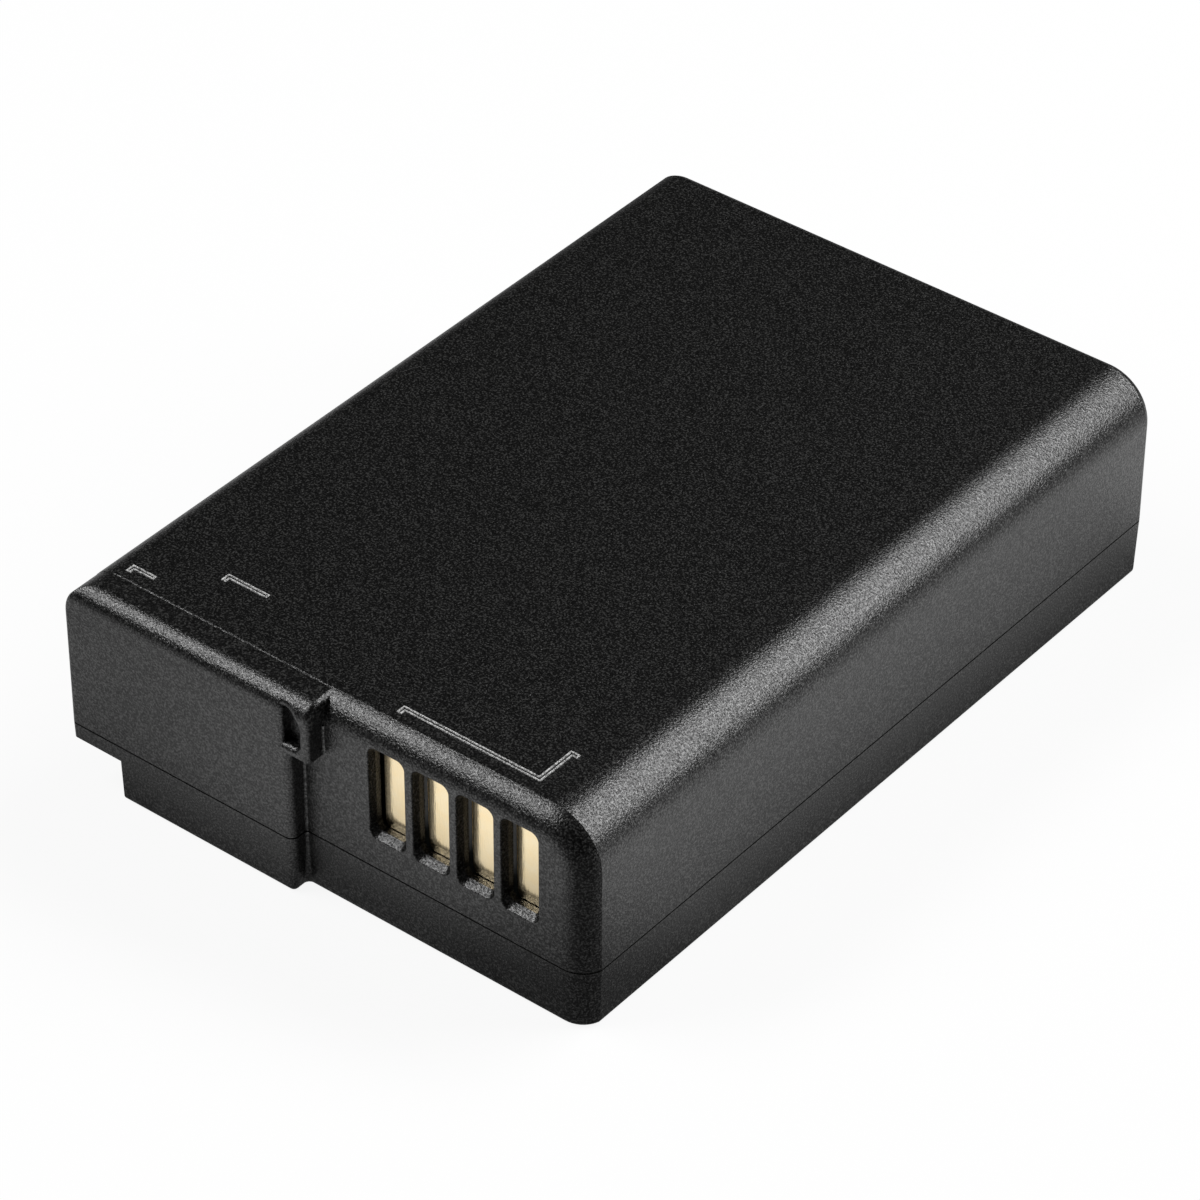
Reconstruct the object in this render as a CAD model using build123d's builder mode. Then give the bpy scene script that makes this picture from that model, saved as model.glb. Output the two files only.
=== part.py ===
"""Two-cell camera battery in millimetres: moulded case and lid, contacts, board and cells.

X runs across the width, Y along the length with the contact end at -Y, and Z up.
The origin is at the middle of the underside.
"""
import os

from build123d import *

os.makedirs("parts", exist_ok=True)

# Outer size
body_length = 48.5
body_width = 32.5
body_height = 12.5

# Case walls
side_wall = 1.0
roof_wall = 0.8
floor_wall = 0.8
contact_wall = 0.8

# Rounded edges of the case
right_top_radius = 2.8
left_top_radius = 1.75
end_radius = 1.6
back_radius = 1.3
end_overrun = 0.08
lid_edge_radius = 0.32
inner_corner_radius = 0.3

# Seam between case and lid
seam_height = 3.55
seam_gap = 0.1
lip_height = 1.0
lip_thickness = 0.35
lip_clearance = 0.05
lid_draft_angle = 2.0

# Raised block at the contact end
block_step = 1.05
block_drop = 0.03
block_edge_radius = 1.0
block_side_radius = 0.25
block_corner_radius = 0.45
block_root_radius = 0.15

# Latch lug at the block's upper right end
lug_reach = 1.3
lug_height = 3.37
lug_root_radius = 0.15
lug_edge_radius = 0.3
pocket_width = 1.02
pocket_depth = 0.7
pocket_rim = 0.7
pocket_sill = 0.45
pocket_lintel = 0.82
pocket_arch_radius = 0.9
pocket_corner_radius = 0.3
pocket_edge_radius = 0.3

# Key notch under the block
notch_width = 3.25
notch_length = 4.6
notch_rim = 0.95
notch_wall = 0.8

# Contact windows
window_count = 4
window_width = 2.3
window_pitch = 2.76
window_right_margin = 2.98
window_top_margin = 1.4
window_foot = 1.9
window_corner_radius = 0.45
window_flare = 0.12
window_flare_depth = 0.45
window_sill_rise = 0.25
window_edge_radius = 0.08
contact_land = 4.14

# Contacts
contact_inset = 0.22
contact_drop = 0.05
contact_depth = 0.85
contact_thickness = 0.5
contact_edge_radius = 0.15
contact_corner_radius = 0.9
contact_top_run = 0.2
pin_diameter = 0.7
pin_clearance = 0.05
pin_length = 0.6
pin_margin = 0.9

# Board
board_thickness = 0.8
board_side_clearance = 0.3
board_top_clearance = 0.3
board_notch_clearance = 0.3
guide_grip = 0.4
guide_width = 0.6
guide_clearance = 0.05

# Parts on the back of the board
chip_width = 3.0
chip_height = 0.9
chip_spacing = 4.2
chip_chamfer = 0.15
capacitor_count = 3
resistor_count = 4
small_length = 1.6
small_width = 0.8
small_height = 0.5
small_pitch = 2.4
small_row_gap = 0.6
small_edge_margin = 0.2
thermistor_length = 1.8

# Room from the board back to the cells
board_part_clearance = 0.35
insulator_thickness = 0.2
insulator_side_margin = 0.4
insulator_foot = 0.6
strip_thickness = 0.15
strip_width = 1.6
terminal_height = 0.4
terminal_width = 3.4
terminal_breadth = 1.4
gasket_height = 0.3
gasket_border = 0.6

# Cells and the pads that hold them
cell_side_clearance = 0.55
cell_edge_radius = 1.8
cell_base_radius = 0.5
pad_border = 1.2
bottom_pad_thickness = 0.15
joining_pad_thickness = 0.2
top_pad_thickness = 0.35
end_pad_thickness = 0.55
end_pad_height = 3.0

# Welded pads and the thermal cut-off
positive_pad_width = 3.0
positive_pad_breadth = 2.0
positive_pad_margin = 4.7
lead_overhang = 2.6
lead_margin = 0.6
cutoff_length = 3.4
cutoff_height = 0.9
cutoff_breadth = 2.4
cutoff_overlap = 0.5
cutoff_gap = 3.1
cutoff_edge_radius = 0.3

# Moulded marks on the top, placed from the case's front and sides
mark_width = 0.32
mark_rail = 0.12
mark_height = 0.05
mark_taper = 30.0
mark_tick = 0.45
mark_front_run = 3.05
mark_rear_run = 5.45
left_mark_start = 2.05
left_mark_length = 1.43
middle_mark_start = 6.22
middle_mark_length = 2.58
right_mark_end = 4.5
right_mark_length = 8.35

# How near a place has to be to an edge to pick it
pick_tolerance = 0.01

# Planes worked out from the sizes above
half_width = body_width / 2
back_y = body_length / 2
block_front_y = -body_length / 2
contact_face_y = block_front_y + block_step
block_top = body_height - block_drop
shoulder_y = contact_face_y + end_radius
case_rim = seam_height + seam_gap / 2
lid_rim = seam_height - seam_gap / 2
lip_top = seam_height + lip_height
ceiling = body_height - roof_wall
inside_x = half_width - side_wall
inside_front_y = contact_face_y + contact_wall
inside_back_y = back_y - side_wall
core_front_y = block_front_y + side_wall
left_inside_radius = left_top_radius - side_wall
right_inside_radius = right_top_radius - side_wall

# Window places, counted from the right side
window_top = body_height - window_top_margin
window_bottom = seam_height + window_foot
throat_width = window_width - 2 * window_flare
throat_top = window_top - window_flare
throat_bottom = window_bottom + window_sill_rise
last_window_x = half_width - window_right_margin - window_width / 2
window_places = [last_window_x - window_pitch * step for step in reversed(range(window_count))]

# Block and lug places, counted from the first window
block_right_x = window_places[0] - window_width / 2 - contact_land
lug_right_x = block_right_x + lug_reach
lug_bottom = block_top - lug_height
pocket_right_x = lug_right_x - pocket_rim
pocket_left_x = pocket_right_x - pocket_width
pocket_bottom = lug_bottom + pocket_sill
pocket_top = block_top - pocket_lintel
core_right_x = pocket_left_x - side_wall
notch_right_x = -half_width + notch_width
notch_top = seam_height - notch_rim
notch_back_y = block_front_y + notch_length

# Depths from the contact face to the cells
contact_front_y = contact_face_y + contact_depth
board_front_y = contact_front_y + contact_thickness
board_back_y = board_front_y + board_thickness
insulator_front_y = board_back_y + chip_height + board_part_clearance
strip_front_y = insulator_front_y + insulator_thickness
strip_back_y = strip_front_y + strip_thickness
gasket_front_y = strip_back_y + terminal_height
cell_front_y = gasket_front_y + gasket_height
cell_back_y = inside_back_y - end_pad_thickness
cell_length = cell_back_y - cell_front_y
cell_middle_y = (cell_front_y + cell_back_y) / 2

# Heights of the cells and their pads
pad_heights = bottom_pad_thickness + joining_pad_thickness + top_pad_thickness
cell_thickness = (ceiling - floor_wall - pad_heights) / 2
cell_width = 2 * (inside_x - cell_side_clearance)
lower_cell_z = floor_wall + bottom_pad_thickness + cell_thickness / 2
upper_cell_z = ceiling - top_pad_thickness - cell_thickness / 2
cell_heights = {"lower": lower_cell_z, "upper": upper_cell_z}

# Contact and board places
contact_width = window_width - 2 * contact_inset
contact_bottom = window_bottom - contact_drop
contact_top = window_top + contact_top_run
pin_heights = (contact_bottom + pin_margin, contact_top - pin_margin)
board_half = inside_x - board_side_clearance
board_top = ceiling - board_top_clearance
board_cut_x = notch_right_x + notch_wall + board_notch_clearance
board_cut_z = notch_top + notch_wall + board_notch_clearance
guide_top = body_height - right_top_radius
core_top = block_top - side_wall
chip_right_x = window_places[0] - window_width - chip_width / 2
capacitor_z = board_top - small_edge_margin - small_width / 2
chip_z = capacitor_z - small_width / 2 - small_row_gap - chip_width / 2
resistor_z = chip_z - chip_width / 2 - small_row_gap - small_width / 2
positive_pad_place = cell_width / 2 - positive_pad_margin
cutoff_place = terminal_width / 2 + cutoff_gap + cutoff_length / 2

# Routes of the marks, each with a short tick turned off its left end
front_mark_y = block_front_y + mark_front_run
rear_mark_y = block_front_y + mark_rear_run
left_mark_x = -half_width + left_mark_start
middle_mark_x = -half_width + middle_mark_start
right_mark_x = half_width - right_mark_end
mark_paths = [
    [
        (left_mark_x, front_mark_y - mark_tick),
        (left_mark_x, front_mark_y),
        (left_mark_x + left_mark_length, front_mark_y),
    ],
    [
        (middle_mark_x, rear_mark_y - mark_tick),
        (middle_mark_x, rear_mark_y),
        (middle_mark_x + middle_mark_length, rear_mark_y),
    ],
    [
        (right_mark_x - right_mark_length, front_mark_y - mark_tick),
        (right_mark_x - right_mark_length, front_mark_y),
        (right_mark_x, front_mark_y),
        (right_mark_x, rear_mark_y),
        (right_mark_x + mark_tick, rear_mark_y),
    ],
]


def across(y):
    """Plane across the battery at this y, with its own x along X and its own y along Z."""
    return Plane.XZ.offset(-y)


def save(piece, name):
    """Label a finished piece and write it."""
    piece.part.label = name
    export_step(piece.part, f"parts/{name}.step")


def edges_within(piece, x_range, y_range, z_range):
    """Edges of a piece whose middles lie in these ranges."""
    edges = piece.edges()
    for axis, (low, high) in ((Axis.X, x_range), (Axis.Y, y_range), (Axis.Z, z_range)):
        edges = edges.filter_by_position(axis, low - pick_tolerance, high + pick_tolerance)
    return edges


def case_section(top, floor, side, left_radius, right_radius):
    """Section across the case, square at its foot and rounded at its two top edges."""
    with BuildSketch(mode=Mode.PRIVATE) as section:
        Polygon((-side, floor), (side, floor), (side, top), (-side, top), align=None)
        upper = section.vertices().group_by(Axis.Y)[-1].sort_by(Axis.X)
        fillet(upper[0], left_radius)
        upper = section.vertices().group_by(Axis.Y)[-1].sort_by(Axis.X)
        fillet(upper[-1], right_radius)
    return section.sketch


def hollow_plan(margin):
    """Plan of the hollow, with its bay behind the block, grown all round by a margin."""
    corner_radius = inner_corner_radius + margin
    with BuildSketch(mode=Mode.PRIVATE) as plan:
        Polygon(
            (-inside_x - margin, inside_back_y + margin),
            (-inside_x - margin, core_front_y - margin),
            (core_right_x + margin, core_front_y - margin),
            (core_right_x + margin, inside_front_y - margin),
            (inside_x + margin, inside_front_y - margin),
            (inside_x + margin, inside_back_y + margin),
            align=None,
        )
        fillet(plan.vertices().group_by(Axis.X)[0], corner_radius)
        fillet(plan.vertices().group_by(Axis.X)[-1], corner_radius)
    return plan.sketch


def block_plan(right_x):
    """Plan of the raised block, from its front back past the case's rounded end."""
    with BuildSketch(mode=Mode.PRIVATE) as plan:
        Polygon(
            (-half_width, shoulder_y),
            (-half_width, block_front_y),
            (right_x, block_front_y),
            (right_x, shoulder_y),
            align=None,
        )
    return plan.sketch


def window_outline(place, width, top, bottom):
    """Rounded upright outline of a window, seen from the front."""
    with BuildSketch(mode=Mode.PRIVATE) as outline:
        with Locations((place, (top + bottom) / 2)):
            RectangleRounded(width, top - bottom, window_corner_radius)
    return outline.sketch


# Rounded ends, drawn a little outside the case so that they meet its sides at a fine edge
with BuildPart() as end_form:
    with BuildSketch(across(back_y)):
        add(
            case_section(
                body_height + end_overrun,
                case_rim,
                half_width + end_overrun,
                left_top_radius + end_overrun,
                right_top_radius + end_overrun,
            )
        )
    extrude(amount=back_y - contact_face_y)
    above_rim = end_form.edges().filter_by_position(Axis.Z, case_rim + seam_gap, body_height + seam_gap)
    fillet(above_rim.group_by(Axis.Y)[0], end_radius)
    above_rim = end_form.edges().filter_by_position(Axis.Z, case_rim + seam_gap, body_height + seam_gap)
    fillet(above_rim.group_by(Axis.Y)[-1], back_radius)

# Outer form of the case above the seam, without its block and its hollow
with BuildPart() as case_form:
    with BuildSketch(across(back_y)):
        add(case_section(body_height, case_rim, half_width, left_top_radius, right_top_radius))
    extrude(amount=back_y - contact_face_y)
    add(end_form.part, mode=Mode.INTERSECT)

# Front end of the case where the block stands, with its outline softened
with BuildPart() as block_blank:
    with BuildSketch(across(shoulder_y)):
        add(case_section(block_top, case_rim, half_width, left_top_radius, right_top_radius))
    extrude(amount=shoulder_y - block_front_y)
    front_edges = block_blank.faces().sort_by(Axis.Y)[0].edges()
    fillet(front_edges.filter_by_position(Axis.Z, case_rim + seam_gap, body_height), block_side_radius)

# Raised block with its latch lug
with BuildPart() as block_form:
    with BuildSketch(Plane.XY.offset(case_rim)):
        add(block_plan(block_right_x))
    extrude(amount=lug_bottom - case_rim)
    with BuildSketch(Plane.XY.offset(lug_bottom)):
        add(block_plan(lug_right_x))
    extrude(amount=block_top - lug_bottom)
    add(block_blank.part, mode=Mode.INTERSECT)
    with BuildSketch(Plane.YZ.offset(-half_width)) as profile:
        Polygon(
            (block_front_y, case_rim),
            (shoulder_y, case_rim),
            (shoulder_y, block_top),
            (block_front_y, block_top),
            align=None,
        )
        fillet(profile.vertices().group_by(Axis.Y)[-1].sort_by(Axis.X)[0], block_edge_radius)
    extrude(amount=body_width, mode=Mode.INTERSECT)
    lug_edges = block_form.faces().sort_by(Axis.X)[-1].edges()
    lug_edges = lug_edges.filter_by_position(Axis.Y, block_front_y, shoulder_y - pick_tolerance)
    lug_edges = lug_edges.filter_by_position(Axis.Z, lug_bottom + pick_tolerance, body_height)
    fillet(lug_edges, lug_edge_radius)

# Whole outer form above the seam, with the block's corners rounded
with BuildPart() as outer_form:
    add(case_form.part)
    add(block_form.part)
    for corner_y, radius in ((contact_face_y, block_root_radius), (block_front_y, block_corner_radius)):
        corner = edges_within(
            outer_form, (block_right_x, block_right_x), (corner_y, corner_y), (case_rim, lug_bottom)
        )
        fillet(corner.filter_by(Axis.Z), radius)
    with BuildSketch(Plane.XY.offset(lug_bottom)):
        Polygon(
            (pocket_right_x, contact_face_y - lug_root_radius),
            (lug_right_x + lug_root_radius, contact_face_y - lug_root_radius),
            (lug_right_x + lug_root_radius, contact_face_y + contact_wall),
            (pocket_right_x, contact_face_y + contact_wall),
            align=None,
        )
        with Locations((lug_right_x + lug_root_radius, contact_face_y - lug_root_radius)):
            Circle(lug_root_radius, mode=Mode.SUBTRACT)
    extrude(amount=body_height - end_radius - lug_bottom)

# Upper half of the case
with BuildPart() as upper_case:
    add(outer_form.part)
    with BuildSketch(across(inside_back_y)):
        add(case_section(ceiling, case_rim, inside_x, left_inside_radius, right_inside_radius))
    extrude(amount=inside_back_y - inside_front_y, mode=Mode.SUBTRACT)
    with BuildSketch(across(inside_front_y)) as bay:
        Polygon(
            (-inside_x, case_rim),
            (core_right_x, case_rim),
            (core_right_x, core_top),
            (-inside_x, core_top),
            align=None,
        )
        fillet(bay.vertices().group_by(Axis.Y)[-1].sort_by(Axis.X)[0], left_inside_radius)
    extrude(amount=inside_front_y - core_front_y, mode=Mode.SUBTRACT)
    with BuildSketch(Plane.XY.offset(case_rim)):
        add(hollow_plan(lip_thickness + lip_clearance))
    extrude(amount=lip_top - case_rim, mode=Mode.SUBTRACT)

    # Windows in front of the contacts, flared towards the front with a sloping sill
    for place in window_places:
        throat = window_outline(place, throat_width, throat_top, throat_bottom)
        with BuildSketch(across(contact_face_y)):
            add(window_outline(place, window_width, window_top, window_bottom))
        with BuildSketch(across(contact_face_y + window_flare_depth)):
            add(throat)
        loft(mode=Mode.SUBTRACT)
        with BuildSketch(across(contact_face_y + window_flare_depth)):
            add(throat)
        extrude(amount=window_flare_depth - contact_wall, mode=Mode.SUBTRACT)
    window_span = (window_places[0] - window_width / 2, window_places[-1] + window_width / 2)
    rims = edges_within(
        upper_case, window_span, (contact_face_y, contact_face_y), (window_bottom, window_top)
    )
    fillet(rims, window_edge_radius)

    # Pocket in the front of the lug, arched on its right
    with BuildSketch(across(block_front_y)) as pocket:
        Polygon(
            (pocket_left_x, pocket_bottom),
            (pocket_right_x, pocket_bottom),
            (pocket_right_x, pocket_top),
            (pocket_left_x, pocket_top),
            align=None,
        )
        fillet(pocket.vertices().group_by(Axis.Y)[-1].sort_by(Axis.X)[-1], pocket_arch_radius)
        fillet(pocket.vertices().group_by(Axis.Y)[0].sort_by(Axis.X)[-1], pocket_corner_radius)
    extrude(amount=-pocket_depth, mode=Mode.SUBTRACT)
    mouth = edges_within(
        upper_case,
        (pocket_left_x, pocket_right_x),
        (block_front_y, block_front_y + pocket_edge_radius),
        (pocket_bottom, pocket_top),
    )
    fillet(mouth, pocket_edge_radius)

    # Upright guides that hold the two ends of the board
    with BuildSketch(Plane.XY.offset(lip_top + guide_clearance)):
        for side, front_wall_y in ((-1, core_front_y), (1, inside_front_y)):
            front_start = front_wall_y - contact_wall / 2
            rear_start = board_back_y + guide_clearance
            for start, end in (
                (front_start, board_front_y - guide_clearance),
                (rear_start, rear_start + guide_width),
            ):
                inner = side * (board_half - guide_grip)
                outer = side * (inside_x + side_wall / 2)
                Polygon((inner, start), (outer, start), (outer, end), (inner, end), align=None)
    extrude(amount=guide_top - lip_top - guide_clearance)

    # Moulded marks, each an outline of two fine rails
    with BuildSketch(Plane.XY.offset(body_height)):
        for path in mark_paths:
            with BuildSketch(mode=Mode.PRIVATE) as mark:
                with BuildLine():
                    Polyline(*path)
                trace(line_width=mark_width)
                offset(amount=-mark_rail, mode=Mode.SUBTRACT)
            add(mark.sketch)
    extrude(amount=mark_height, taper=mark_taper)

save(upper_case, "upper_case")

# Lower half of the case, drafted towards its underside
with BuildPart() as lower_lid:
    extrude(outer_form.faces().sort_by(Axis.Z)[0], amount=case_rim)
    walls = lower_lid.faces().sort_by(Axis.Z)[1:-1]
    draft(walls, -Plane.XY.offset(case_rim), lid_draft_angle)
    split(bisect_by=Plane.XY.offset(lid_rim), keep=Keep.BOTTOM)
    with BuildSketch(Plane.XY.offset(floor_wall)):
        add(hollow_plan(0))
    extrude(amount=lid_rim - floor_wall, mode=Mode.SUBTRACT)
    with BuildSketch(Plane.XY.offset(lid_rim - lip_height / 2)):
        add(hollow_plan(lip_thickness))
        add(hollow_plan(0), mode=Mode.SUBTRACT)
    extrude(amount=lip_top - lid_rim + lip_height / 2)
    with BuildSketch(Plane.XY.offset(floor_wall / 2)):
        Polygon(
            (-inside_x - side_wall / 2, core_front_y - side_wall / 2),
            (notch_right_x + notch_wall, core_front_y - side_wall / 2),
            (notch_right_x + notch_wall, notch_back_y + notch_wall),
            (-inside_x - side_wall / 2, notch_back_y + notch_wall),
            align=None,
        )
    extrude(amount=notch_top + notch_wall - floor_wall / 2)
    with BuildSketch():
        Polygon(
            (-body_width, -body_length),
            (notch_right_x, -body_length),
            (notch_right_x, notch_back_y),
            (-body_width, notch_back_y),
            align=None,
        )
    extrude(amount=notch_top, mode=Mode.SUBTRACT)
    fillet(lower_lid.faces().sort_by(Axis.Z)[0].edges(), lid_edge_radius)
save(lower_lid, "lower_lid")

# Contacts behind the windows, each with two pins through the board
for number, place in enumerate(window_places, start=1):
    with BuildPart() as contact:
        with BuildSketch(across(board_front_y)):
            with Locations((place, (contact_top + contact_bottom) / 2)):
                RectangleRounded(contact_width, contact_top - contact_bottom, contact_corner_radius)
        extrude(amount=contact_thickness)
        fillet(contact.faces().sort_by(Axis.Y)[0].edges(), contact_edge_radius)
        with BuildSketch(across(board_front_y)):
            with Locations(*[(place, height) for height in pin_heights]):
                Circle(pin_diameter / 2)
        extrude(amount=-board_thickness - pin_length)
    save(contact, f"contact_{number}")

# Board, cut away over the notch and drilled for the pins
with BuildPart() as circuit_board:
    with BuildSketch(across(board_back_y)) as outline:
        Polygon(
            (board_cut_x, floor_wall),
            (board_half, floor_wall),
            (board_half, board_top),
            (-board_half, board_top),
            (-board_half, board_cut_z),
            (board_cut_x, board_cut_z),
            align=None,
        )
        fillet(outline.vertices().group_by(Axis.Y)[-1].sort_by(Axis.X)[0], left_inside_radius)
        fillet(outline.vertices().group_by(Axis.Y)[-1].sort_by(Axis.X)[-1], right_inside_radius)
        with Locations(*[(x, height) for x in window_places for height in pin_heights]):
            Circle(pin_diameter / 2 + pin_clearance, mode=Mode.SUBTRACT)
    extrude(amount=board_thickness)
save(circuit_board, "circuit_board")

# Chips on the back of the board
for name, place in (("switch_chip", chip_right_x), ("protection_chip", chip_right_x - chip_spacing)):
    with BuildPart() as chip:
        with BuildSketch(across(board_back_y)):
            with Locations((place, chip_z)):
                Rectangle(chip_width, chip_width)
        extrude(amount=-chip_height)
        chamfer(chip.faces().sort_by(Axis.Y)[-1].edges(), chip_chamfer)
    save(chip, name)

# Rows of small soldered parts above and below the chips
for name, count, row_z in (
    ("chip_capacitors", capacitor_count, capacitor_z),
    ("chip_resistors", resistor_count, resistor_z),
):
    with BuildPart() as small_row:
        with BuildSketch(across(board_back_y)):
            with Locations(*[(chip_right_x - small_pitch * step, row_z) for step in range(count)]):
                Rectangle(small_length, small_width)
        extrude(amount=-small_height)
    save(small_row, name)

with BuildPart() as thermistor:
    with BuildSketch(across(board_back_y)):
        with Locations((chip_right_x - 2 * chip_spacing, chip_z)):
            Rectangle(small_width, thermistor_length)
    extrude(amount=-small_height)
save(thermistor, "thermistor")

# Cells, each a sealed can with a gasket and a terminal on its cover
for level, height in cell_heights.items():
    with BuildPart() as cell:
        with BuildSketch(across(cell_back_y)):
            with Locations((0, height)):
                RectangleRounded(cell_width, cell_thickness, cell_edge_radius)
        extrude(amount=cell_length)
        fillet(cell.faces().sort_by(Axis.Y)[-1].edges(), cell_base_radius)
    save(cell, f"cell_{level}")
    with BuildPart() as gasket:
        with BuildSketch(across(cell_front_y)):
            with Locations((0, height)):
                SlotOverall(terminal_width + 2 * gasket_border, terminal_breadth + 2 * gasket_border)
        extrude(amount=gasket_height)
    save(gasket, f"gasket_{level}")
    with BuildPart() as terminal:
        with BuildSketch(across(gasket_front_y)):
            with Locations((0, height)):
                SlotOverall(terminal_width, terminal_breadth)
        extrude(amount=terminal_height)
    save(terminal, f"terminal_{level}")

# Clad pads welded to the cells' covers, as high as the terminals
for level, place in (("upper", -positive_pad_place), ("lower", positive_pad_place)):
    with BuildPart() as positive_pad:
        with BuildSketch(across(cell_front_y)):
            with Locations((place, cell_heights[level])):
                Rectangle(positive_pad_width, positive_pad_breadth)
        extrude(amount=gasket_height + terminal_height)
    save(positive_pad, f"positive_pad_{level}")


def strip_bar(left, right, bottom, top):
    """Flat bar of strip, drawn in the plane of the strips."""
    Polygon((left, bottom), (right, bottom), (right, top), (left, top), align=None)


def strip_leg(x, height):
    """Leg folded forward from a strip to the back of the board."""
    with BuildSketch(across(strip_front_y)) as leg:
        with Locations((x, height)):
            Rectangle(strip_thickness, strip_width)
    extrude(leg.sketch, amount=strip_front_y - board_back_y)


half_strip = strip_width / 2

# Link from the upper terminal to the lower can, with the middle tap to the board
link_right_x = positive_pad_place + half_strip
with BuildPart() as series_link:
    with BuildSketch(across(strip_back_y)):
        strip_bar(-terminal_width / 2, link_right_x, upper_cell_z - half_strip, upper_cell_z + half_strip)
        strip_bar(
            link_right_x - strip_width, link_right_x, lower_cell_z - half_strip, upper_cell_z + half_strip
        )
    extrude(amount=strip_thickness)
    strip_leg(link_right_x - strip_thickness / 2, upper_cell_z)
save(series_link, "series_link")

# Lead from the upper can to the board
positive_end_x = -positive_pad_place - lead_overhang
with BuildPart() as positive_strip:
    with BuildSketch(across(strip_back_y)):
        strip_bar(
            positive_end_x,
            positive_pad_width / 2 - positive_pad_place,
            upper_cell_z - half_strip,
            upper_cell_z + half_strip,
        )
    extrude(amount=strip_thickness)
    strip_leg(positive_end_x + strip_thickness / 2, upper_cell_z)
save(positive_strip, "positive_strip")

# Lead from the lower terminal through the thermal cut-off to the board
cutoff_left_x = -cutoff_place - cutoff_length / 2
cutoff_right_x = -cutoff_place + cutoff_length / 2
with BuildPart() as negative_strip:
    with BuildSketch(across(strip_back_y)):
        strip_bar(
            cutoff_right_x - cutoff_overlap,
            terminal_width / 2,
            lower_cell_z - half_strip,
            lower_cell_z + half_strip,
        )
    extrude(amount=strip_thickness)
save(negative_strip, "negative_strip")

with BuildPart() as thermal_cutoff:
    with BuildSketch(across(strip_front_y)):
        with Locations((-cutoff_place, lower_cell_z)):
            Rectangle(cutoff_length, cutoff_breadth)
    extrude(amount=cutoff_height)
    fillet(thermal_cutoff.faces().sort_by(Axis.Y)[0].edges(), cutoff_edge_radius)
save(thermal_cutoff, "thermal_cutoff")

negative_end_x = board_cut_x + lead_margin
with BuildPart() as negative_lead:
    with BuildSketch(across(strip_back_y)):
        strip_bar(
            negative_end_x,
            cutoff_left_x + cutoff_overlap,
            lower_cell_z - half_strip,
            lower_cell_z + half_strip,
        )
    extrude(amount=strip_thickness)
    strip_leg(negative_end_x + strip_thickness / 2, lower_cell_z)
save(negative_lead, "negative_lead")

# Sheet that keeps the board's parts off the strips
insulator_half = positive_pad_place - positive_pad_width / 2 - insulator_side_margin
insulator_bottom = lower_cell_z + cutoff_breadth / 2 + insulator_foot
with BuildPart() as board_insulator:
    with BuildSketch(across(strip_front_y)):
        strip_bar(-insulator_half, insulator_half, insulator_bottom, board_top)
    extrude(amount=insulator_thickness)
save(board_insulator, "board_insulator")

# Pads under, between and over the cells, and behind them
pad_width = cell_width - 2 * (cell_edge_radius + pad_border)
pad_length = cell_length - 2 * (cell_base_radius + pad_border)
for name, base, thickness in (
    ("bottom_pad", floor_wall, bottom_pad_thickness),
    ("cell_joining_pad", lower_cell_z + cell_thickness / 2, joining_pad_thickness),
    ("top_pad", ceiling - top_pad_thickness, top_pad_thickness),
):
    with BuildPart() as pad:
        with BuildSketch(Plane.XY.offset(base)):
            with Locations((0, cell_middle_y)):
                Rectangle(pad_width, pad_length)
        extrude(amount=thickness)
    save(pad, name)

with BuildPart() as end_pad:
    with BuildSketch(across(inside_back_y)):
        with Locations((0, (lower_cell_z + upper_cell_z) / 2)):
            Rectangle(pad_width, upper_cell_z - lower_cell_z + end_pad_height)
    extrude(amount=end_pad_thickness)
save(end_pad, "end_pad")
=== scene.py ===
# %% [markdown]
# # A camera battery, dressed
# The solids of the battery arrive finished in shape: a moulded case and lid, gold contacts behind
# four windows, and the cells and board inside. This lesson gives them their looks. Everything is
# in metres, in the same frame as the solids: X across the width, Y along the length with the
# contact end at -Y, and Z up from the table.

# %% Load the solids
import math

import bpy
from mathutils import Matrix, Vector


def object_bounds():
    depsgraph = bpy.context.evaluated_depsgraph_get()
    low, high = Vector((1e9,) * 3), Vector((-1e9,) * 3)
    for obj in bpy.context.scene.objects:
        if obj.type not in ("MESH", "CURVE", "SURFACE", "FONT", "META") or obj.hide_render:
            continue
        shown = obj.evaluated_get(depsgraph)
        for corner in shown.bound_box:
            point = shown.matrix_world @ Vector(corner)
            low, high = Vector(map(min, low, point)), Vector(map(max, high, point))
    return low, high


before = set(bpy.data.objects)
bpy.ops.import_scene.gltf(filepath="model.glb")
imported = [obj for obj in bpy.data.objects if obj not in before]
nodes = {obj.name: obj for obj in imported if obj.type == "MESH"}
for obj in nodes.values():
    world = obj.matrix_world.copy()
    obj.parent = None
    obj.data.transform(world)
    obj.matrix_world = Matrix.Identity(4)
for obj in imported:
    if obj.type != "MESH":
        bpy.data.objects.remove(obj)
solid_box = [list(corner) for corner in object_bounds()]
MM = 0.001
print("solids:", len(nodes), "box:", solid_box)

# %% [markdown]
# ## The camera
# The photograph was taken with a long lens from the front right and above. Its place was found by
# fitting a camera to the battery's edges, so the picture and the solids agree corner by corner.
# A camera can be aimed with a Track To constraint, but building its matrix from three axes keeps
# the small roll of the photograph.

# %% Camera
VIEW_AZIMUTH = math.radians(38.60)
VIEW_ELEVATION = math.radians(38.07)
VIEW_ROLL = math.radians(0.18)
VIEW_DISTANCE = 273.8 * MM
VIEW_SIDE = -1.22 * MM
VIEW_RISE = 3.55 * MM
LENS_MM = 157.5
SENSOR_MM = 36.0
NEAREST_SEEN = 10.0 * MM


def placed(x_axis, y_axis, z_axis, place):
    """Matrix of an object with these axes at this place."""
    columns = (x_axis, y_axis, z_axis, place)
    return Matrix([[column[row] for column in columns] for row in range(3)] + [[0, 0, 0, 1]])


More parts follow.
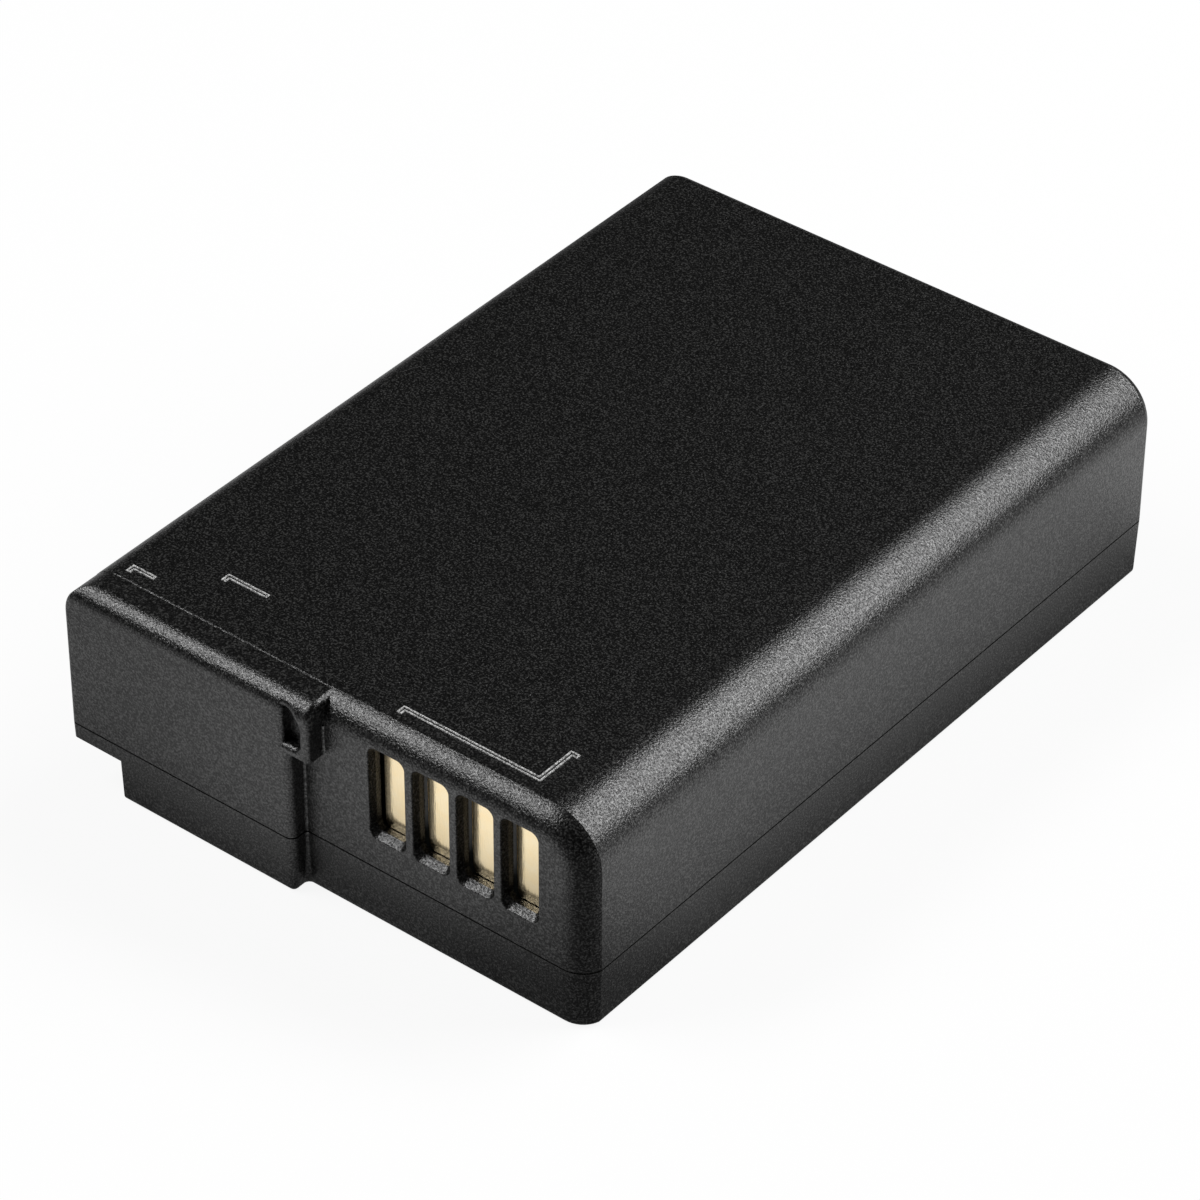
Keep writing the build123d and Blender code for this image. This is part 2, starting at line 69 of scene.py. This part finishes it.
back = Vector((
    math.sin(VIEW_AZIMUTH) * math.cos(VIEW_ELEVATION),
    -math.cos(VIEW_AZIMUTH) * math.cos(VIEW_ELEVATION),
    math.sin(VIEW_ELEVATION),
))
level = Vector((math.cos(VIEW_AZIMUTH), math.sin(VIEW_AZIMUTH), 0.0))
upward = back.cross(level)
right = level * math.cos(VIEW_ROLL) + upward * math.sin(VIEW_ROLL)
up = upward * math.cos(VIEW_ROLL) - level * math.sin(VIEW_ROLL)
view_point = back * VIEW_DISTANCE + right * VIEW_SIDE + up * VIEW_RISE
print("camera at", tuple(round(value, 4) for value in view_point))

# %% Camera object
camera_data = bpy.data.cameras.new("camera")
camera_data.lens = LENS_MM
camera_data.sensor_width = SENSOR_MM
camera_data.clip_start = NEAREST_SEEN
camera = bpy.data.objects.new("camera", camera_data)
bpy.context.scene.collection.objects.link(camera)
camera.matrix_world = placed(right, up, back, view_point)
bpy.context.scene.camera = camera
bpy.context.scene.view_settings.view_transform = "Standard"
print("lens", camera_data.lens, "mm")

# %% [markdown]
# ## A small kit for finishes
# Every finish below is a Principled shader fed by procedural textures. One helper makes the empty
# material and hands back its tree and shader, and one places a texture in millimetres, because
# grain and scratches are easier to judge in millimetres than in metres.


# %% New finishes and their coordinates
def new_finish(name):
    """New material with a Principled shader, as (material, node tree, shader)."""
    finish = bpy.data.materials.new(name)
    finish.use_nodes = True
    tree = finish.node_tree
    return finish, tree, tree.nodes["Principled BSDF"]


def millimetre_coords(tree, stretch=(1.0, 1.0, 1.0)):
    """Object coordinates in millimetres, squeezed along an axis to draw a texture out along it."""
    coords = tree.nodes.new("ShaderNodeTexCoord")
    scale = tree.nodes.new("ShaderNodeMapping")
    scale.inputs["Scale"].default_value = [factor / MM for factor in stretch]
    tree.links.new(coords.outputs["Object"], scale.inputs["Vector"])
    return scale.outputs["Vector"]


def noise(tree, coords, per_mm, detail=2.0, roughness=0.5):
    """Noise texture with this many features to the millimetre."""
    texture = tree.nodes.new("ShaderNodeTexNoise")
    texture.inputs["Scale"].default_value = per_mm
    texture.inputs["Detail"].default_value = detail
    texture.inputs["Roughness"].default_value = roughness
    tree.links.new(coords, texture.inputs["Vector"])
    return texture.outputs["Fac"]


# %% Values and colours
MIX_UNDER = 6
MIX_OVER = 7
MIX_COLOUR = 2


def spread(tree, factor, low, high, start=0.0, end=1.0):
    """Remap a factor that runs from start to end so that it runs from low to high."""
    remap = tree.nodes.new("ShaderNodeMapRange")
    remap.inputs["From Min"].default_value = start
    remap.inputs["From Max"].default_value = end
    remap.inputs["To Min"].default_value = low
    remap.inputs["To Max"].default_value = high
    tree.links.new(factor, remap.inputs["Value"])
    return remap.outputs["Result"]


def combine(tree, operation, first, second):
    """Math node over two values, where the second may be a plain number."""
    node = tree.nodes.new("ShaderNodeMath")
    node.operation = operation
    tree.links.new(first, node.inputs[0])
    if isinstance(second, float):
        node.inputs[1].default_value = second
    else:
        tree.links.new(second, node.inputs[1])
    return node.outputs["Value"]


def shades(tree, factor, stops):
    """Colour ramp over a factor, from (position, colour) stops."""
    ramp = tree.nodes.new("ShaderNodeValToRGB")
    while len(ramp.color_ramp.elements) < len(stops):
        ramp.color_ramp.elements.new(0.5)
    for element, (position, colour) in zip(ramp.color_ramp.elements, stops):
        element.position = position
        element.color = (*colour, 1.0)
    tree.links.new(factor, ramp.inputs["Fac"])
    return ramp.outputs["Color"]


def blend(tree, factor, under, over):
    """Mix of two colours, where the upper one may be a plain colour."""
    node = tree.nodes.new("ShaderNodeMix")
    node.data_type = "RGBA"
    tree.links.new(factor, node.inputs["Factor"])
    tree.links.new(under, node.inputs[MIX_UNDER])
    if isinstance(over, tuple):
        node.inputs[MIX_OVER].default_value = (*over, 1.0)
    else:
        tree.links.new(over, node.inputs[MIX_OVER])
    return node.outputs[MIX_COLOUR]


# %% Bump, and dressing a solid
def bump(tree, height, depth_mm, strength=1.0, below=None):
    """Bump of this depth, laid over another bump where one is given."""
    node = tree.nodes.new("ShaderNodeBump")
    node.inputs["Strength"].default_value = strength
    node.inputs["Distance"].default_value = depth_mm * MM
    tree.links.new(height, node.inputs["Height"])
    if below is not None:
        tree.links.new(below, node.inputs["Normal"])
    return node.outputs["Normal"]


def dress(finish, *names):
    """Give these solids a finish in every material slot."""
    for name in names:
        for slot in nodes[name].material_slots:
            slot.material = finish
    print(finish.name, "on", ", ".join(names))


# %% [markdown]
# ## The moulded case
# The case is black plastic, shaped in a tool with spark-eroded walls. The erosion leaves a fine
# even grain that scatters light, so the flat faces look dull and the round edges shine softly.
# A flat grey with some roughness would look like paint. Here one noise makes the grain's pits, in
# colour, in bump and in how much they mirror, because a pit shades itself, and a finer one breaks
# up the highlight into sparkle. Handling polishes the outer edges first. Ambient occlusion looked
# at from inside the wall finds them, because there the wall is thin on two sides, and an ordinary
# edge mask would take the inner corners too. The moulded marks on the top are found by height,
# and their tops get a light grey base colour: a painted highlight for the glint on their edges.

# %% Case grain and wear
GRAIN_PER_MM = 9.5
FINE_PER_MM = 16.0
HANDLING_PER_MM = 0.35
WEAR_REACH_MM = 0.2
WEAR_SAMPLES = 6

case_black, tree, shader = new_finish("case_black")
coords = millimetre_coords(tree)
pits = noise(tree, coords, GRAIN_PER_MM, detail=1.5, roughness=0.6)
fine = noise(tree, coords, FINE_PER_MM, detail=1.0)
handling = noise(tree, coords, HANDLING_PER_MM, detail=3.0)

inner = tree.nodes.new("ShaderNodeAmbientOcclusion")
inner.inside = True
inner.samples = WEAR_SAMPLES
inner.inputs["Distance"].default_value = WEAR_REACH_MM * MM
worn = spread(tree, inner.outputs["AO"], 1.0, 0.0, start=0.45, end=0.95)
worn = combine(tree, "MULTIPLY", worn, spread(tree, handling, 0.2, 1.0, start=0.35, end=0.65))
print("grain of", GRAIN_PER_MM, "and", FINE_PER_MM, "to the millimetre")

# %% Case tone, and painted highlight on the marks
WORN_GREY = (0.016, 0.016, 0.0155)
RAIL_HEIGHT_MM = 0.05
RAIL_FOOT_SHARE = 0.9
RAIL_TOP_SHARE = 0.6

tone = shades(tree, pits, [
    (0.42, (0.0005, 0.0005, 0.0005)), (0.54, (0.0026, 0.0026, 0.0025)), (0.66, (0.034, 0.034, 0.033)),
])
tone = blend(tree, worn, tone, WORN_GREY)

case_point = tree.nodes.new("ShaderNodeSeparateXYZ")
tree.links.new(coords, case_point.inputs["Vector"])
highest = solid_box[1][2] / MM
rail_foot = highest - RAIL_FOOT_SHARE * RAIL_HEIGHT_MM
rail_top = highest - RAIL_TOP_SHARE * RAIL_HEIGHT_MM
mark_highlight_mask = spread(tree, case_point.outputs["Z"], 0.0, 1.0, start=rail_foot, end=rail_top)
# Painted highlight: the tops of the marks get a light grey base colour in place of the glint of light on
# their edges.
painted_mark_glints = shades(tree, fine, [(0.38, (0.08, 0.08, 0.08)), (0.62, (0.75, 0.75, 0.74))])
tone = blend(tree, mark_highlight_mask, tone, painted_mark_glints)
tree.links.new(tone, shader.inputs["Base Color"])
print("marks lie above", round(rail_foot, 3), "mm")

# %% Case gloss and bump
CASE_IOR = 1.73
GRAIN_DEPTH_MM = 0.028
FINE_DEPTH_MM = 0.007

open_grain = shades(tree, pits, [(0.37, (0.34, 0.34, 0.34)), (0.61, (1.0, 1.0, 1.0))])
tree.links.new(open_grain, shader.inputs["Specular Tint"])
shader.inputs["IOR"].default_value = CASE_IOR
gloss = combine(tree, "ADD", spread(tree, fine, 0.23, 0.37), spread(tree, handling, -0.02, 0.02))
gloss = combine(tree, "SUBTRACT", gloss, spread(tree, worn, 0.0, 0.05))
tree.links.new(gloss, shader.inputs["Roughness"])
grain = bump(tree, pits, GRAIN_DEPTH_MM)
grain = bump(tree, fine, FINE_DEPTH_MM, below=grain)
tree.links.new(grain, shader.inputs["Normal"])
dress(case_black, "upper_case", "lower_lid")

# %% [markdown]
# ## The contacts
# Each contact is stamped from brass and plated with gold. The plating is bright but not a mirror,
# and the stamping leaves faint upright lines, drawn here by a noise stretched along Z. The plating
# is not equally thick everywhere, so a slow noise shifts its colour and its gloss a little.

# %% Contact finish
STAMPED_PER_MM = 11.0
STAMPED_DEPTH_MM = 0.006
PLATING_PER_MM = 1.3
ALONG_Z = (1.0, 1.0, 0.12)

contact_gold, tree, shader = new_finish("contact_gold")
lines = noise(tree, millimetre_coords(tree, ALONG_Z), STAMPED_PER_MM, detail=3.0)
clouds = noise(tree, millimetre_coords(tree), PLATING_PER_MM, detail=2.0)
tone = shades(tree, clouds, [(0.35, (1.0, 0.81, 0.50)), (0.65, (1.0, 0.84, 0.56))])
tree.links.new(tone, shader.inputs["Base Color"])
shader.inputs["Metallic"].default_value = 1.0
rubbed = combine(tree, "ADD", spread(tree, lines, 0.10, 0.18), spread(tree, clouds, -0.03, 0.03))
tree.links.new(rubbed, shader.inputs["Roughness"])
tree.links.new(bump(tree, lines, STAMPED_DEPTH_MM, 0.6), shader.inputs["Normal"])
dress(contact_gold, "contact_1", "contact_2", "contact_3", "contact_4")

# %% [markdown]
# ## The board and what is soldered on it
# The board is a glass laminate under black solder mask, smooth, with the weave of the glass just
# felt through it. Two crossed Wave textures give that weave. The chips are moulded in black
# resin, which is duller, and the small parts are fired ceramic with tinned ends: their ends are
# the faces that look along the part's length, so the surface normal finds them.

# %% Board finish
WEAVE_PER_MM = 0.8
WEAVE_DEPTH_MM = 0.006
MASK_PER_MM = 3.0

board_mask, tree, shader = new_finish("board_mask")
coords = millimetre_coords(tree)
threads = []
for direction in ("X", "Z"):
    thread = tree.nodes.new("ShaderNodeTexWave")
    thread.bands_direction = direction
    thread.inputs["Scale"].default_value = WEAVE_PER_MM
    thread.inputs["Distortion"].default_value = 0.6
    tree.links.new(coords, thread.inputs["Vector"])
    threads.append(thread.outputs["Fac"])
weave = combine(tree, "MULTIPLY", threads[0], threads[1])
tone = shades(tree, weave, [(0.0, (0.011, 0.013, 0.012)), (1.0, (0.019, 0.021, 0.020))])
tree.links.new(tone, shader.inputs["Base Color"])
tree.links.new(spread(tree, noise(tree, coords, MASK_PER_MM), 0.22, 0.38), shader.inputs["Roughness"])
tree.links.new(bump(tree, weave, WEAVE_DEPTH_MM, 0.5), shader.inputs["Normal"])
dress(board_mask, "circuit_board")

# %% Chip finish
RESIN_PER_MM = 12.0
RESIN_DEPTH_MM = 0.01

chip_resin, tree, shader = new_finish("chip_resin")
speckle = noise(tree, millimetre_coords(tree), RESIN_PER_MM, detail=3.0, roughness=0.6)
tone = shades(tree, speckle, [(0.3, (0.018, 0.018, 0.019)), (0.7, (0.036, 0.036, 0.037))])
tree.links.new(tone, shader.inputs["Base Color"])
tree.links.new(spread(tree, speckle, 0.55, 0.75), shader.inputs["Roughness"])
tree.links.new(bump(tree, speckle, RESIN_DEPTH_MM, 0.5), shader.inputs["Normal"])
dress(chip_resin, "protection_chip", "switch_chip", "thermal_cutoff")

# %% Ceramic finishes
CERAMIC_PER_MM = 6.0
CERAMIC_DEPTH_MM = 0.008
END_FACING = 0.7
TINNED = (0.74, 0.74, 0.72)


def tinned_ceramic(name, axis):
    """Fired ceramic whose faces across one axis are tinned."""
    finish, tree, shader = new_finish(name)
    coords = millimetre_coords(tree)
    body = noise(tree, coords, CERAMIC_PER_MM, detail=3.0)
    facing = tree.nodes.new("ShaderNodeTexCoord")
    parts = tree.nodes.new("ShaderNodeSeparateXYZ")
    tree.links.new(facing.outputs["Normal"], parts.inputs["Vector"])
    along = combine(tree, "ABSOLUTE", parts.outputs[axis], 0.0)
    tinned = combine(tree, "GREATER_THAN", along, END_FACING)
    tone = shades(tree, body, [(0.3, (0.34, 0.28, 0.21)), (0.7, (0.48, 0.42, 0.33))])
    tree.links.new(blend(tree, tinned, tone, TINNED), shader.inputs["Base Color"])
    tree.links.new(tinned, shader.inputs["Metallic"])
    tree.links.new(spread(tree, body, 0.35, 0.55), shader.inputs["Roughness"])
    tree.links.new(bump(tree, body, CERAMIC_DEPTH_MM, 0.5), shader.inputs["Normal"])
    return finish


dress(tinned_ceramic("ceramic_across", "X"), "chip_resistors", "chip_capacitors")
dress(tinned_ceramic("ceramic_upright", "Z"), "thermistor")

# %% [markdown]
# ## The cells and their strips
# A cell's can is drawn from aluminium, which leaves fine lines along its length, and the strips
# are nickel-plated steel, brushed across. Both are the same idea: a metal whose roughness and
# bump come from a noise drawn out along the lines.

# %% Metal finishes
STAINS_PER_MM = 0.25
LINE_DEPTH_MM = 0.008
POLISH = 0.16
ALONG_Y = (1.0, 0.04, 1.0)
ALONG_X = (0.06, 1.0, 1.0)


def drawn_metal(name, dark, pale, stretch, lines_per_mm, dull):
    """Metal with fine lines drawn out along one axis, between two tones and up to a dullness."""
    finish, tree, shader = new_finish(name)
    lines = noise(tree, millimetre_coords(tree, stretch), lines_per_mm, detail=4.0)
    stains = noise(tree, millimetre_coords(tree), STAINS_PER_MM, detail=3.0)
    tree.links.new(shades(tree, stains, [(0.3, dark), (0.7, pale)]), shader.inputs["Base Color"])
    shader.inputs["Metallic"].default_value = 1.0
    tree.links.new(spread(tree, lines, dull - POLISH, dull), shader.inputs["Roughness"])
    tree.links.new(bump(tree, lines, LINE_DEPTH_MM, 0.6), shader.inputs["Normal"])
    return finish


can_satin = drawn_metal("can_satin", (0.66, 0.66, 0.67), (0.77, 0.77, 0.78), ALONG_Y, 6.0, 0.45)
dress(can_satin, "cell_upper", "cell_lower")
strip_brushed = drawn_metal("strip_brushed", (0.53, 0.51, 0.47), (0.65, 0.63, 0.59), ALONG_X, 12.0, 0.42)
dress(
    strip_brushed,
    "terminal_upper", "terminal_lower", "positive_pad_upper", "positive_pad_lower",
    "series_link", "positive_strip", "negative_strip", "negative_lead",
)

# %% [markdown]
# ## Gaskets, card and foam
# The last inner pieces are dull: a dark polypropylene gasket under each terminal, a sheet of
# pressed card behind the board, with long fibres, and foam pads, whose cells a Voronoi texture
# draws.

# %% Gasket finish
FLOW_PER_MM = 4.0
FLOW_DEPTH_MM = 0.006

gasket_dark, tree, shader = new_finish("gasket_dark")
flow = noise(tree, millimetre_coords(tree), FLOW_PER_MM, detail=2.0)
tone = shades(tree, flow, [(0.3, (0.10, 0.10, 0.11)), (0.7, (0.14, 0.14, 0.15))])
tree.links.new(tone, shader.inputs["Base Color"])
tree.links.new(spread(tree, flow, 0.28, 0.42), shader.inputs["Roughness"])
tree.links.new(bump(tree, flow, FLOW_DEPTH_MM, 0.4), shader.inputs["Normal"])
dress(gasket_dark, "gasket_upper", "gasket_lower")

# %% Card finish
FIBRES_PER_MM = 5.0
FIBRE_DEPTH_MM = 0.02
ALONG_FIBRES = (0.15, 1.0, 1.0)

card_pressed, tree, shader = new_finish("card_pressed")
fibres = noise(tree, millimetre_coords(tree, ALONG_FIBRES), FIBRES_PER_MM, detail=5.0, roughness=0.7)
tone = shades(tree, fibres, [(0.3, (0.44, 0.44, 0.36)), (0.7, (0.56, 0.56, 0.48))])
tree.links.new(tone, shader.inputs["Base Color"])
tree.links.new(spread(tree, fibres, 0.7, 0.9), shader.inputs["Roughness"])
tree.links.new(bump(tree, fibres, FIBRE_DEPTH_MM, 0.6), shader.inputs["Normal"])
dress(card_pressed, "board_insulator")

# %% Foam finish
FOAM_CELLS_PER_MM = 5.0
FOAM_DEPTH_MM = 0.05

foam_pale, tree, shader = new_finish("foam_pale")
foam_cells = tree.nodes.new("ShaderNodeTexVoronoi")
foam_cells.inputs["Scale"].default_value = FOAM_CELLS_PER_MM
tree.links.new(millimetre_coords(tree), foam_cells.inputs["Vector"])
hollows = foam_cells.outputs["Distance"]
tone = shades(tree, hollows, [(0.0, (0.62, 0.62, 0.59)), (0.7, (0.80, 0.80, 0.77))])
tree.links.new(tone, shader.inputs["Base Color"])
tree.links.new(spread(tree, hollows, 0.8, 0.95), shader.inputs["Roughness"])
tree.links.new(bump(tree, hollows, FOAM_DEPTH_MM, 0.7), shader.inputs["Normal"])
dress(foam_pale, "top_pad", "cell_joining_pad", "bottom_pad", "end_pad")

# %% [markdown]
# ## The table
# The battery lies on a white table. A white surface under lamps turns grey towards its far edge,
# so to the camera most of its white is a glow of strength 1, and the rest is ordinary white that
# still takes the battery's shadow. A black case shows the table mostly by mirroring it, and in its
# mirror image shade is painted into the glow as a table is shaded in a studio: a painted shadow
# close to the battery's foot, painted shade far away and to the left, and painted dark patches
# where a black card would lie, before the near corner and behind the back.

# %% Table top
TABLE_SIZE = 4.0
TABLE_GAP_MM = 0.02
TABLE_WHITE = 0.9

bpy.ops.mesh.primitive_plane_add(size=TABLE_SIZE, location=(0.0, 0.0, -TABLE_GAP_MM * MM))
table = bpy.context.object
table.name = "table"

table_white, tree, shader = new_finish("table_white")
shader.inputs["Base Color"].default_value = (TABLE_WHITE, TABLE_WHITE, TABLE_WHITE, 1.0)
shader.inputs["Roughness"].default_value = 0.8
table.data.materials.append(table_white)
print("table", TABLE_GAP_MM, "mm under the battery")

# %% Painted shade from the foot outward
FOOT_GLOW = 0.2
FOOT_REACH_MM = 6.5
SIDE_STEEPNESS = 0.9
FAR_GLOW = 0.25
FAR_RANGE_MM = (14.0, 70.0)
LEFT_GLOW = 0.56
LEFT_RANGE_MM = (-28.0, 0.0)

table_point = tree.nodes.new("ShaderNodeSeparateXYZ")
tree.links.new(millimetre_coords(tree), table_point.inputs["Vector"])
table_x = table_point.outputs["X"]
table_y = table_point.outputs["Y"]
beside = combine(tree, "SUBTRACT", combine(tree, "ABSOLUTE", table_x, 0.0), solid_box[1][0] / MM)
beside = combine(tree, "MULTIPLY", beside, SIDE_STEEPNESS)
beyond = combine(tree, "SUBTRACT", combine(tree, "ABSOLUTE", table_y, 0.0), solid_box[1][1] / MM)
away = combine(tree, "MAXIMUM", beside, beyond)
# Painted shadow and shade: the glow that mirrors see is dimmed close to the foot, far away and to the
# left.
painted_foot_shadow = spread(tree, away, FOOT_GLOW, 1.0, start=0.0, end=FOOT_REACH_MM)
painted_far_shade = spread(tree, beyond, 1.0, FAR_GLOW, *FAR_RANGE_MM)
painted_left_shade = spread(tree, table_x, LEFT_GLOW, 1.0, *LEFT_RANGE_MM)
painted_mirror_shade = combine(tree, "MULTIPLY", combine(tree, "MULTIPLY", painted_foot_shadow, painted_far_shade), painted_left_shade)
print("mirrored table rises from", FOOT_GLOW, "to 1 over", FOOT_REACH_MM, "mm")

# %% Painted shade before the corner and behind the back, where dark cards would lie
CORNER_DARK = 0.84
CORNER_X_MM = (4.5, 17.0)
CORNER_Y_MM = (-22.0, -13.0)
BEHIND_DARK = 0.95
BEHIND_Y_MM = (30.0, 45.0)
BEHIND_MIDDLE_MM = -25.0
BEHIND_HALF_MM = (36.0, 46.0)
LEAST_GLOW = 0.14

# Painted shade: dark patches in the mirrored glow stand in for black cards before the near corner and
# behind the back; no card is there.
corner_x = spread(tree, table_x, 0.0, CORNER_DARK, *CORNER_X_MM)
corner_y = spread(tree, table_y, 1.0, 0.0, *CORNER_Y_MM)
corner = combine(tree, "MULTIPLY", corner_x, corner_y)
behind_y = spread(tree, table_y, 0.0, BEHIND_DARK, *BEHIND_Y_MM)
from_middle = combine(tree, "SUBTRACT", table_x, BEHIND_MIDDLE_MM)
from_middle = combine(tree, "ABSOLUTE", from_middle, 0.0)
painted_behind_shade = combine(tree, "MULTIPLY", behind_y, spread(tree, from_middle, 1.0, 0.0, *BEHIND_HALF_MM))
painted_mirror_shade = combine(tree, "MULTIPLY", painted_mirror_shade, spread(tree, corner, 1.0, 0.0))
painted_mirror_shade = combine(tree, "MULTIPLY", painted_mirror_shade, spread(tree, painted_behind_shade, 1.0, 0.0))
painted_mirror_shade = combine(tree, "MAXIMUM", painted_mirror_shade, LEAST_GLOW)
print("mirrored table is never dimmer than", LEAST_GLOW)

# %% Glow to the camera, and painted shade in mirrors
CAMERA_GLOW = 0.9

path = tree.nodes.new("ShaderNodeLightPath")
glow = tree.nodes.new("ShaderNodeEmission")
# Mirrors see the glow with the painted shade in it; the camera sees it at full strength.
tree.links.new(combine(tree, "MAXIMUM", path.outputs["Is Camera Ray"], painted_mirror_shade), glow.inputs["Strength"])
mirrored = combine(tree, "MAXIMUM", path.outputs["Is Glossy Ray"], path.outputs["Is Transmission Ray"])
seen = combine(tree, "MULTIPLY", path.outputs["Is Camera Ray"], CAMERA_GLOW)
mix = tree.nodes.new("ShaderNodeMixShader")
tree.links.new(combine(tree, "MAXIMUM", seen, mirrored), mix.inputs["Fac"])
tree.links.new(shader.outputs["BSDF"], mix.inputs[1])
tree.links.new(glow.outputs["Emission"], mix.inputs[2])
tree.links.new(mix.outputs["Shader"], tree.nodes["Material Output"].inputs["Surface"])
print("glow makes up", CAMERA_GLOW, "of the white that the camera sees")

# %% [markdown]
# ## The light
# A black object is lit by what it mirrors. Two long softboxes stand where the rounded edges look:
# one high on the left for the edges of the contact end, and one behind on the right for the long
# edge. The flat top mirrors the dark gap between them, so it stays black, as in the photograph.
# A point lamp would give hard sparks, and one big box overhead would turn the top grey.

# %% Lights
BOX_DISTANCE = 0.6
LEFT_RADIANCE = 9.5
BACK_RADIANCE = 10.8
WORLD_GREY = 0.05


def softbox(name, toward, along, size, radiance):
    """Rectangular area lamp in a direction, with its long side along another, of this radiance."""
    z_axis = Vector(toward).normalized()
    y_axis = z_axis.cross(Vector(along)).normalized()
    x_axis = y_axis.cross(z_axis)
    lamp = bpy.data.lights.new(name, "AREA")
    lamp.shape = "RECTANGLE"
    lamp.size, lamp.size_y = size
    lamp.energy = radiance * math.pi * size[0] * size[1]
    box = bpy.data.objects.new(name, lamp)
    bpy.context.scene.collection.objects.link(box)
    box.matrix_world = placed(x_axis, y_axis, z_axis, z_axis * BOX_DISTANCE)
    print(name, "gives", round(lamp.energy, 2), "W")


softbox("left_box", (-0.53, -0.43, 0.73), (0.0, -0.86, -0.51), (0.46, 0.17), LEFT_RADIANCE)
softbox("back_box", (0.47, 0.58, 0.665), (0.817, 0.0, -0.577), (0.67, 0.165), BACK_RADIANCE)

world = bpy.data.worlds.new("studio")
bpy.context.scene.world = world
world.use_nodes = True
background = world.node_tree.nodes["Background"]
background.inputs["Color"].default_value = (WORLD_GREY, WORLD_GREY, WORLD_GREY, 1.0)
print("world grey", WORLD_GREY)
